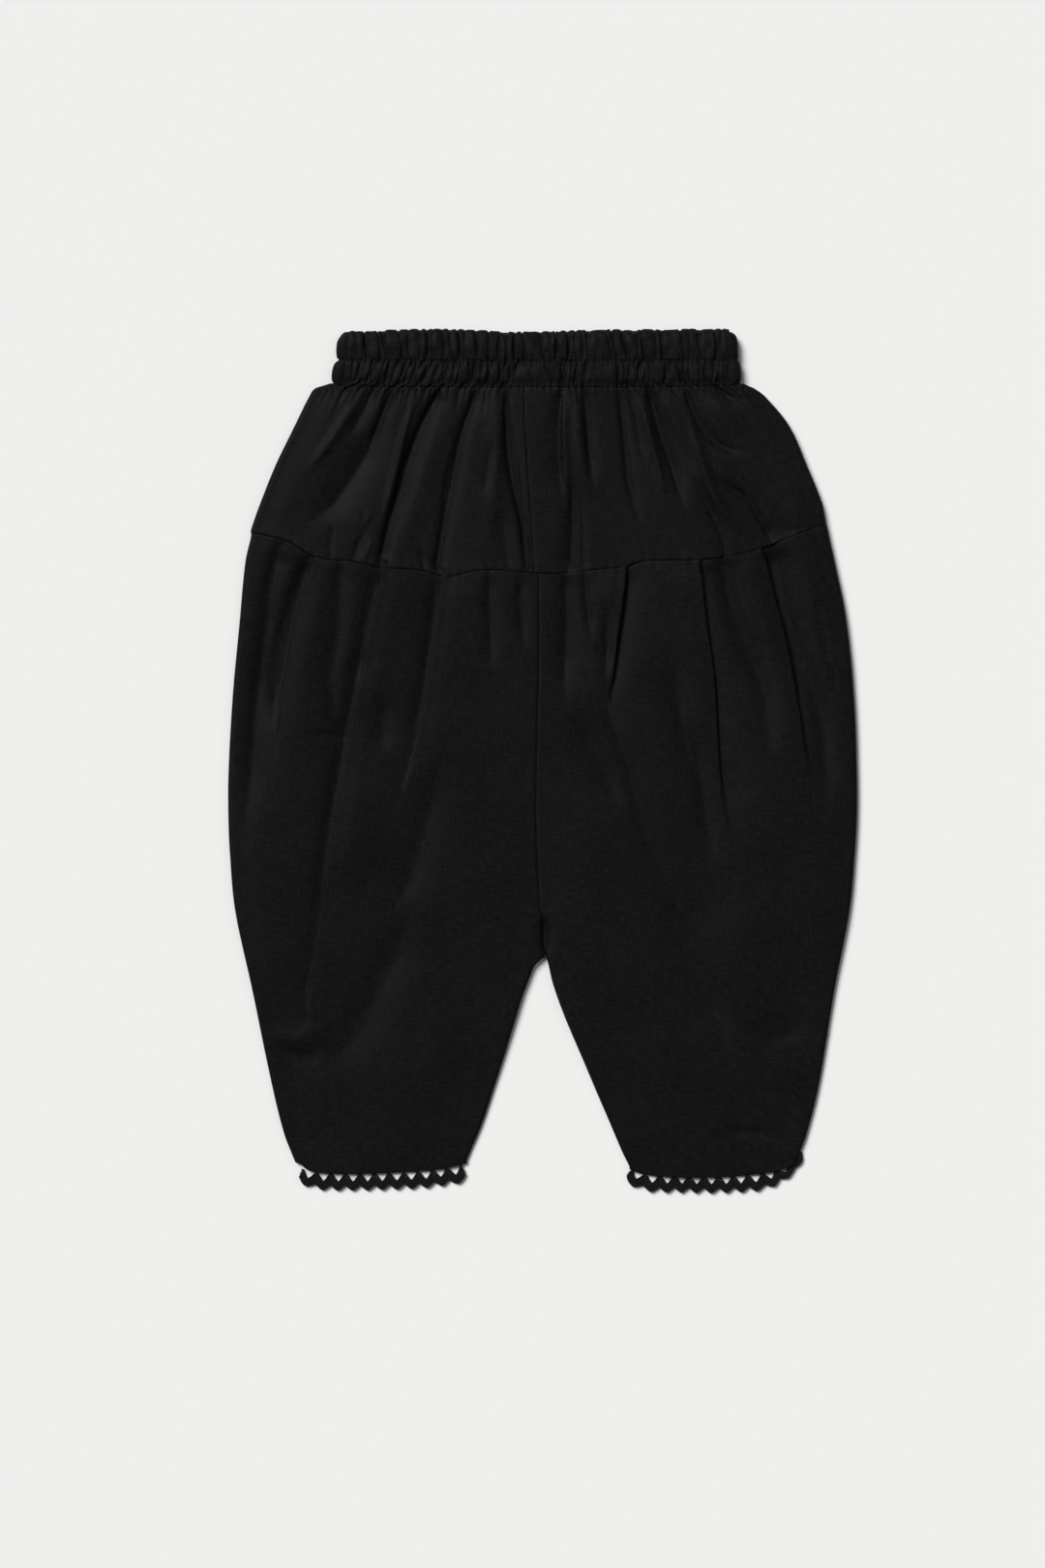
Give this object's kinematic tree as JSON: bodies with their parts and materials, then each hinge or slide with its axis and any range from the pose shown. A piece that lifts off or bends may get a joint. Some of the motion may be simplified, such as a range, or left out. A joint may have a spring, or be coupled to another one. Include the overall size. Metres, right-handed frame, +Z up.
{
  "type": "tulip shalwar",
  "caption": "Toddler's pull-on tulip shalwar laid flat, front up, with a gathered elastic waistband, a hip yoke, pleated balloon legs and scalloped lace hems.",
  "frame": {"origin": "middle of the laid garment's outline, on the surface that it lies on", "axes": "+Y from the hems to the waistband, +Z up from the surface out of the front of the garment, +X to the wearer's left"},
  "size_m": [0.3244, 0.4452, 0.0076],
  "materials": {
    "cotton": "black cotton, plain weave, matt with a slight sheen on its folds",
    "lace": "black cotton braid, matt"
  },
  "bodies": {
    "root": {"waistband": "cotton", "yoke_right": "cotton", "yoke_left": "cotton", "leg_right": "cotton", "leg_left": "cotton", "hem_lace_right_front": "lace", "hem_lace_right_back": "lace", "hem_lace_left_front": "lace", "hem_lace_left_back": "lace"}
  },
  "joints": []
}
